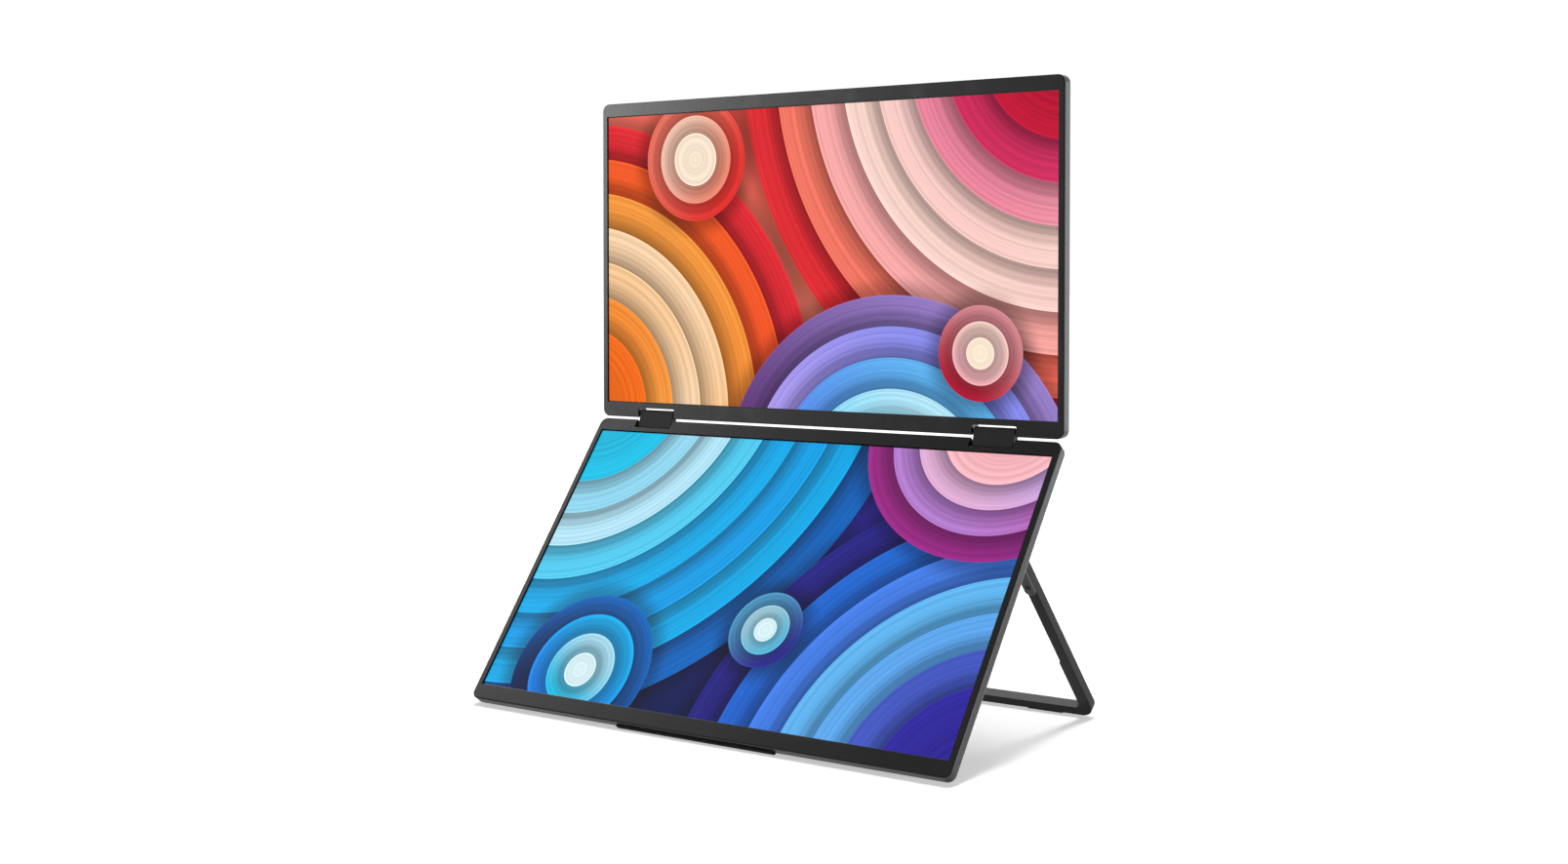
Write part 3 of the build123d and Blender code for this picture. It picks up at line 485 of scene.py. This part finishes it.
WARM_PICTURE = Picture("warm_arcs", CORAL, SCARLET, (
    Nest(0.93, 0.66, 1.22, 0.13, 200, (CRIMSON, SCARLET, CORAL, PINK, CREAM, PINK, ROSE, CRIMSON)),
    Nest(-1.0, -0.52, 1.0, 0.12, 80, (CRIMSON, SCARLET, ORANGE, AMBER, CREAM, AMBER, ORANGE)),
    Nest(0.3, -0.8, 0.68, 0.1, 30, (PLUM, LILAC, PERIWINKLE, SKY, ICE, CYAN)),
    Nest(-0.5, 0.34, 0.21, 0.06, 140, (SCARLET, CORAL, CREAM)),
    Nest(0.62, -0.3, 0.15, 0.05, 60, (CRIMSON, PINK, CREAM)),
))
COOL_PICTURE = Picture("cool_arcs", NAVY, INDIGO, (
    Nest(-0.9, 0.62, 1.24, 0.13, 300, (NAVY, AZURE, CYAN, AZURE, CYAN, SKY, ICE, CYAN)),
    Nest(1.02, -0.62, 1.06, 0.115, 120, (NAVY, INDIGO, AZURE, PERIWINKLE, SKY, PERIWINKLE, INDIGO)),
    Nest(0.72, 0.62, 0.5, 0.09, 220, (PLUM, MAGENTA, LILAC, PINK)),
    Nest(-0.52, -0.4, 0.27, 0.07, 60, (NAVY, AZURE, CYAN, ICE)),
    Nest(0.12, -0.18, 0.13, 0.045, 130, (INDIGO, SKY, ICE)),
))


def wrap_colour(colour: Colour) -> Paint:
    """A colour with full alpha."""
    return (*colour, 1.0)


def join_rings(mesh: bmesh.types.BMesh, rings: list[list[bmesh.types.BMVert]]) -> None:
    """Join closed rings of as many points each, in their order.

    Args:
        mesh: The mesh that the faces join.
        rings: The rings' points.
    """
    for first, second in zip(rings[:-1], rings[1:]):
        for i in range(len(first)):
            j = (i + 1) % len(first)
            mesh.faces.new((first[i], first[j], second[j], second[i]))


def finish_mesh(name: str, mesh: bmesh.types.BMesh, materials: list[bpy.types.Material]) -> bpy.types.Object:
    """Turn a bmesh into an object of the scene.

    Args:
        name: The piece's name.
        mesh: Its geometry, in metres in the shared frame.
        materials: Its materials, in the order of its faces' numbers.

    Returns:
        The new object.
    """
    bmesh.ops.recalc_face_normals(mesh, faces=mesh.faces)
    data = bpy.data.meshes.new(name)
    mesh.to_mesh(data)
    mesh.free()
    for material in materials:
        data.materials.append(material)
    piece = bpy.data.objects.new(name, data)
    bpy.context.scene.collection.objects.link(piece)
    log.info("%s: %d faces", name, len(data.polygons))
    return piece


@dataclass(frozen=True)
class PanelPlane:
    """A display's plane, read from its glass cell, with sizes in metres."""

    centre: Vector
    right: Vector
    up: Vector
    out: Vector
    width: float
    height: float

    @classmethod
    def of_glass(cls, node: str, bank: Bank, margin: float, ledge: float) -> "PanelPlane":
        """Measure the lit area of a glass cell.

        Args:
            node: The glass cell's name in the frame.
            bank: The edge with the wide ledge.
            margin: Dark border of the cell on its other edges.
            ledge: Dark border of the cell on the edge with the ledge.

        Returns:
            The plane with the lit area's middle and size.
        """
        mesh = frame["nodes"][node].data
        right = Vector((1, 0, 0))
        out = max(mesh.polygons, key=lambda face: face.area * (face.normal.y < 0)).normal.copy()
        up = out.cross(right)
        points = [vertex.co for vertex in mesh.vertices]
        low = min(point.dot(up) for point in points) + (ledge if bank is Bank.BOTTOM else margin)
        high = max(point.dot(up) for point in points) - (ledge if bank is Bank.TOP else margin)
        front = max(point.dot(out) for point in points)
        width = 2 * (max(point.x for point in points) - margin)
        return cls(up * (low + high) / 2 + out * front, right, up, out, width, high - low)

    def at(self, across: float, rise: float, proud: float) -> Vector:
        """A point on the plane.

        Args:
            across: Distance to the right of the lit area's middle.
            rise: Distance up the plane from there.
            proud: Distance out of the glass.

        Returns:
            The point in the shared frame.
        """
        return self.centre + self.right * across + self.up * rise + self.out * proud


@dataclass
class Screen:
    """The lit front film of one display, with its dark mask round the picture."""

    body: str
    node: str
    bank: Bank
    picture: Picture
    glass_margin: float = 1.9 * MM
    glass_ledge: float = 4.0 * MM
    mask_border: float = 0.5 * MM
    film: float = 0.16 * MM
    bevel: float = 0.05 * MM
    glow: float = 1.0
    blend_share: float = 0.6
    picture_middle: Place = (0.5, 0.5, 0.0)
    ground_rise: Place = (0.5, 0.8, 0.0)
    ground_reach: float = 0.6
    roughness: float = 0.5
    specular: float = 0.05

    def plane(self) -> PanelPlane:
        """The plane of the display's glass, with the lit area's size."""
        return PanelPlane.of_glass(self.node, self.bank, self.glass_margin, self.glass_ledge)

    def build(self, disc: PaperDisc, mask: bpy.types.Material) -> bpy.types.Object:
        """Model the film and light its picture.

        Args:
            disc: The shared effect that draws one disc.
            mask: Material of the dark border.

        Returns:
            The film.
        """
        plane = self.plane()
        half_width, half_height = plane.width / 2, plane.height / 2
        loops = (
            (self.mask_border, 0.0),
            (self.mask_border, self.film - self.bevel),
            (self.mask_border - self.bevel, self.film),
            (0.0, self.film),
        )
        corners = ((-1, -1), (1, -1), (1, 1), (-1, 1))
        mesh = bmesh.new()
        rings = [
            [mesh.verts.new(plane.at(x * (half_width + grow), y * (half_height + grow), proud))
             for x, y in corners]
            for grow, proud in loops
        ]
        mesh.faces.new(reversed(rings[0]))
        join_rings(mesh, rings)
        lit = mesh.faces.new(rings[-1])
        lit.material_index = 1
        layer = mesh.loops.layers.uv.new("picture")
        for loop, (x, y) in zip(lit.loops, corners):
            loop[layer].uv = ((x + 1) / 2, (y + 1) / 2)
        piece = finish_mesh(self.body + "_lit_film", mesh, [mask, self.light(disc, plane)])
        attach(piece, self.body)
        return piece

    def blend(self, first: Colour, second: Colour) -> Colour:
        """A colour part of the way from one to another."""
        return tuple(a + (b - a) * self.blend_share for a, b in zip(first, second))

    def light(self, disc: PaperDisc, plane: PanelPlane) -> bpy.types.Material:
        """Make the glowing picture.

        Args:
            disc: The shared effect that draws one disc.
            plane: The display's plane, for the picture's aspect.

        Returns:
            The material of the lit area.
        """
        material, sketch = start_material(self.picture.name)
        from_corner = sketch.node("ShaderNodeUVMap", uv_map="picture").outputs["UV"]
        spread = sketch.vector("SUBTRACT", from_corner, self.picture_middle)
        point = sketch.vector("MULTIPLY", spread, (plane.width / plane.height, 1.0, 0.0))
        climb = sketch.vector("DOT_PRODUCT", point, self.ground_rise)
        rise = sketch.span(climb, -self.ground_reach, self.ground_reach, 0.0, 1.0)
        shown = sketch.mix(rise, wrap_colour(self.picture.ground_low), wrap_colour(self.picture.ground_high))
        for nest in self.picture.nests:
            turn = math.radians(nest.turn)
            inner = nest.colours[1:] + nest.colours[-1:]
            for i, (colour, next_colour) in enumerate(zip(nest.colours, inner)):
                shown = sketch.place(disc.tree, {
                    "Point": point, "Centre": (nest.across_share, nest.up_share, 0.0),
                    "Radius": nest.radius_share - i * nest.step_share,
                    "Rise": (math.cos(turn), math.sin(turn), 0.0),
                    "Low": wrap_colour(colour), "High": wrap_colour(self.blend(colour, next_colour)),
                    "Below": shown,
                }).outputs["Picture"]
        shader = sketch.node("ShaderNodeBsdfPrincipled", {
            "Base Color": BLACK, "Roughness": self.roughness,
            "Specular IOR Level": self.specular, "Emission Color": shown, "Emission Strength": self.glow})
        sketch.node("ShaderNodeOutputMaterial", {"Surface": shader.outputs["BSDF"]})
        return material


@dataclass
class Inlets:
    """Gold contacts on the tongues of the cable inlets."""

    body: str = "lower_display"
    node: str = "usb_c_sockets"
    contact_count: int = 6
    contact_width: float = 0.3 * MM
    contact_length: float = 3.6 * MM
    contact_rise: float = 0.06 * MM
    contact_pitch: float = 0.85 * MM
    contact_profile: tuple[tuple[float, float], ...] = ((0.0, 0.3), (0.12, 1.0), (1.0, 1.0))
    tongue_half: float = 0.35 * MM
    tongue_start: float = 1.7 * MM

    def build(self, plane: PanelPlane, gold: bpy.types.Material) -> bpy.types.Object:
        """Model the contact strips on both faces of each tongue.

        Args:
            plane: The lower display's plane.
            gold: The contacts' material.

        Returns:
            All contacts as one piece.
        """
        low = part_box(self.node)[0]
        corners = [vertex.co for vertex in frame["nodes"][self.node].data.vertices]
        heights = sorted(point.dot(plane.up) for point in corners)
        depths = sorted(point.dot(plane.out) for point in corners)
        half = (heights[-1] - heights[0]) / 2
        middle = (heights[0] + heights[-1]) / 2
        shell = self.socket_half(heights)
        mesh = bmesh.new()
        for side in (-1, 1):
            centre = plane.up * (middle + side * (half - shell)) + plane.out * (depths[0] + depths[-1]) / 2
            for face in (-1, 1):
                for i in range(self.contact_count):
                    shift = (i - (self.contact_count - 1) / 2) * self.contact_pitch
                    start = Vector((low.x + self.tongue_start, 0, 0)) + centre + plane.up * shift
                    self.strip(mesh, start + plane.out * face * self.tongue_half, plane, face)
        piece = finish_mesh("inlet_contacts", mesh, [gold])
        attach(piece, self.body)
        return piece

    def socket_half(self, heights: list[float]) -> float:
        """Half the width of one inlet, found from the gap between the two."""
        gaps = [(b - a, a) for a, b in zip(heights[:-1], heights[1:])]
        return (max(gaps)[1] - heights[0]) / 2

    def strip(self, mesh: bmesh.types.BMesh, start: Vector, plane: PanelPlane, face: int) -> None:
        """Add one contact strip with a sloped nose.

        Args:
            mesh: The mesh that it joins.
            start: Middle of its nose, on the tongue.
            plane: The lower display's plane.
            face: Which face of the tongue it lies on, 1 for the front.
        """
        sides = (-self.contact_width / 2, self.contact_width / 2)
        rings = []
        for share, rise in self.contact_profile:
            along = start + Vector((share * self.contact_length, 0, 0))
            lift = plane.out * face * self.contact_rise * rise
            base = [mesh.verts.new(along + plane.up * side) for side in sides]
            crest = [mesh.verts.new(along + plane.up * side + lift) for side in sides]
            rings.append(base + crest[::-1])
        join_rings(mesh, rings)
        mesh.faces.new(rings[0])
        mesh.faces.new(reversed(rings[-1]))


class Mark(Enum):
    """Raised touch marks of the buttons."""

    DOT = "power_button"
    UP = "menu_up_button"
    DOWN = "menu_down_button"


@dataclass
class ButtonMarks:
    """Small raised marks that let a finger tell the side buttons apart."""

    rise: float = 0.12 * MM
    size: float = 0.7 * MM
    dot_sides: int = 20
    shoulder_share: float = 0.8

    def outline(self, mark: Mark) -> list[tuple[float, float]]:
        """List the corners of a mark.

        Args:
            mark: Which mark it is.

        Returns:
            The corners' distances along the button and across it.
        """
        if mark is Mark.DOT:
            turns = [2 * math.pi * i / self.dot_sides for i in range(self.dot_sides)]
            return [(self.size * math.cos(turn), self.size * math.sin(turn)) for turn in turns]
        point = self.size if mark is Mark.UP else -self.size
        return [(-point / 2, -self.size), (point, 0.0), (-point / 2, self.size)]

    def build(self, mark: Mark, plane: PanelPlane, paint: bpy.types.Material) -> bpy.types.Object:
        """Model one mark on its button's outer face.

        Args:
            mark: Which mark it is.
            plane: The lower display's plane.
            paint: The mark's material.

        Returns:
            The mark.
        """
        points = [vertex.co for vertex in frame["nodes"][mark.value].data.vertices]
        outer = max(point.x for point in points)
        heights = [point.dot(plane.up) for point in points]
        depths = [point.dot(plane.out) for point in points]
        centre = plane.up * (min(heights) + max(heights)) / 2 + plane.out * (min(depths) + max(depths)) / 2
        levels = ((1.0, 0.0), (1.0, self.rise * self.shoulder_share), (self.shoulder_share, self.rise))
        mesh = bmesh.new()
        rings = [
            [mesh.verts.new(Vector((outer + lift, 0, 0)) + centre + plane.up * along * grow
                            + plane.out * across * grow)
             for along, across in self.outline(mark)]
            for grow, lift in levels
        ]
        join_rings(mesh, rings)
        mesh.faces.new(rings[0])
        mesh.faces.new(rings[-1])
        piece = finish_mesh(mark.value + "_mark", mesh, [paint])
        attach(piece, mark.value)
        return piece


@dataclass
class Casework:
    """All pieces of the frame, each dressed in the finish of its material slot."""

    grain: SurfaceGrain
    edge: EdgeWearAndHighlight

    def dress(self) -> dict[str, bpy.types.Material]:
        """Give each node of the frame its material.

        Returns:
            The materials by slot.
        """
        made = {slot: finish.make(self.grain, self.edge) for slot, finish in FINISHES.items()}
        for row in frame["record"]["subparts"]:
            node = frame["nodes"][row["node"]]
            node.data.materials.clear()
            node.data.materials.append(made[row["material_slot"]])
            log.info("%s: %s", row["node"], made[row["material_slot"]].name)
        return made


@dataclass(frozen=True)
class Lamp:
    """One soft lamp of the studio, in metres and watts, with the nodes that it lights if not all."""

    name: str
    place: Place
    aim: Place
    width: float
    height: float
    power: float
    throw: Throw
    lit_nodes: tuple[str, ...] = ()


@dataclass
class Studio:
    """Pale floor, white surroundings and soft lamps."""

    floor_half: float = 30.0
    floor_drop: float = 0.0004
    floor_colour: Colour = (0.8, 0.8, 0.8)
    near_glow: float = 0.49
    far_glow: float = 0.95
    near_reach: float = 0.4
    far_reach: float = 1.3
    surround: float = 0.22
    lamps: tuple[Lamp, ...] = (
        Lamp("key", (0.17, 0.0, 2.3), (0.17, 0.1, 0.1), 0.45, 2.0, 50.0, Throw.MATT),
        Lamp("left_panel", (-1.9, -1.15, 0.65), (0.0, 0.0, 0.2), 0.8, 0.86, 150.0, Throw.SHEEN,
             ("upper_front_bezel",)),
        Lamp("high_left_panel", (-1.75, -0.46, 1.28), (0.0, -0.04, 0.09), 0.9, 0.9, 24.0, Throw.SHEEN),
        Lamp("right_strip", (1.7, -0.45, 0.8), (0.17, 0.0, 0.2), 0.25, 1.6, 14.0, Throw.SHEEN),
        Lamp("rear_strip", (0.93, 1.36, 0.32), (0.17, 0.03, 0.25), 0.3, 0.8, 2.8, Throw.SHEEN),
        Lamp("high_rear_panel", (-1.12, -0.16, 2.3), (0.1, 0.1, 0.0), 0.8, 0.8, 88.0, Throw.SHEEN,
             ("kickstand_frame",)),
    )

    def build(self) -> None:
        """Lay the floor and set up the light."""
        self.lay_floor()
        self.paint_surround()
        for lamp in self.lamps:
            self.hang(lamp)

    def lay_floor(self) -> None:
        """A wide floor that glows a little for the camera and keeps the object's shadow."""
        mesh = bmesh.new()
        half = self.floor_half
        corners = ((-half, -half), (half, -half), (half, half), (-half, half))
        mesh.faces.new([mesh.verts.new((x, y, -self.floor_drop)) for x, y in corners])
        material, sketch = start_material("pale_floor")
        matt = sketch.node("ShaderNodeBsdfDiffuse", {"Color": wrap_colour(self.floor_colour)})
        distance = sketch.vector("LENGTH", sketch.node("ShaderNodeTexCoord").outputs["Object"])
        bright = sketch.span(distance, self.near_reach, self.far_reach, self.near_glow, self.far_glow)
        glow = sketch.node("ShaderNodeEmission", {"Strength": bright})
        lit = sketch.node("ShaderNodeAddShader", {0: matt.outputs[0], 1: glow.outputs[0]})
        seen = sketch.node("ShaderNodeMixShader", {
            0: self.seen_directly(sketch), 1: matt.outputs[0], 2: lit.outputs[0]})
        sketch.node("ShaderNodeOutputMaterial", {"Surface": seen.outputs[0]})
        finish_mesh("floor", mesh, [material])

    def paint_surround(self) -> None:
        """White to the camera and in reflections, and a plain soft light on everything else."""
        world = bpy.data.worlds.new("studio")
        bpy.context.scene.world = world
        world.use_nodes = True
        world.node_tree.nodes.clear()
        sketch = NodeSketch(world.node_tree)
        soft = sketch.node("ShaderNodeBackground", {"Color": WHITE, "Strength": self.surround})
        white = sketch.node("ShaderNodeBackground", {"Color": WHITE, "Strength": 1.0})
        both = sketch.node("ShaderNodeMixShader", {
            0: self.seen_directly(sketch), 1: soft.outputs[0], 2: white.outputs[0]})
        sketch.node("ShaderNodeOutputWorld", {"Surface": both.outputs[0]})

    def seen_directly(self, sketch: NodeSketch) -> bpy.types.NodeSocket:
        """Mask what the camera sees by itself, in reflections and through clear things.

        Args:
            sketch: The tree of the floor or of the surroundings.

        Returns:
            The mask, 1 for what is seen.
        """
        path = sketch.node("ShaderNodeLightPath")
        seen = sketch.math("MAXIMUM", path.outputs["Is Camera Ray"], path.outputs["Is Transmission Ray"])
        return sketch.math("MAXIMUM", seen, path.outputs["Is Glossy Ray"])

    def hang(self, lamp: Lamp) -> None:
        """Add one lamp, turned towards its aim and kept to its own nodes.

        Args:
            lamp: The lamp's place, size and power.
        """
        data = bpy.data.lights.new(lamp.name, "AREA")
        data.shape = "RECTANGLE"
        data.size = lamp.width
        data.size_y = lamp.height
        data.energy = lamp.power
        piece = bpy.data.objects.new(lamp.name, data)
        piece.location = lamp.place
        piece.visible_camera = False
        piece.visible_diffuse = lamp.throw is Throw.MATT
        piece.visible_glossy = lamp.throw is Throw.SHEEN
        piece.rotation_euler = (Vector(lamp.aim) - Vector(lamp.place)).to_track_quat("-Z", "Y").to_euler()
        bpy.context.scene.collection.objects.link(piece)
        if lamp.lit_nodes:
            lit = bpy.data.collections.new(lamp.name + "_lights")
            for name in lamp.lit_nodes:
                lit.objects.link(frame["nodes"][name])
            piece.light_linking.receiver_collection = lit


@dataclass
class Viewpoint:
    """The camera, at the photograph's viewing angle."""

    place: Place = (0.7076, -0.99518, 0.27091)
    turn: float = 35.551
    dip: float = 1.608
    focal_pixels: float = 2009.1
    rise_pixels: float = 100.0
    image_width: int = 1607
    sensor: float = 36.0
    near: float = 0.01

    def build(self) -> None:
        """Add the camera and make it the scene's own."""
        data = bpy.data.cameras.new("viewpoint")
        data.sensor_width = self.sensor
        data.lens = self.focal_pixels / self.image_width * self.sensor
        data.shift_y = -self.rise_pixels / self.image_width
        data.clip_start = self.near
        camera = bpy.data.objects.new("viewpoint", data)
        camera.location = self.place
        camera.rotation_euler = (math.radians(90 - self.dip), 0.0, math.radians(self.turn))
        bpy.context.scene.collection.objects.link(camera)
        bpy.context.scene.camera = camera


def main() -> None:
    """Dress the monitor and set the stage."""
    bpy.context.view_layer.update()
    bpy.context.scene.view_settings.view_transform = "Standard"
    grain, edge, disc = SurfaceGrain(), EdgeWearAndHighlight(), PaperDisc()
    materials = Casework(grain, edge).dress()
    screens = (
        Screen("upper_display", "upper_lcd_panel", Bank.TOP, WARM_PICTURE),
        Screen("lower_display", "lower_lcd_panel", Bank.BOTTOM, COOL_PICTURE),
    )
    for screen in screens:
        screen.build(disc, materials["lcd_glass"])
    plane = screens[1].plane()
    Inlets().build(plane, CONTACT_GOLD.make(grain, edge))
    paint = RAISED_MARK.make(grain, edge)
    for mark in Mark:
        ButtonMarks().build(mark, plane, paint)
    Studio().build()
    Viewpoint().build()


if __name__ == "__main__":
    main()
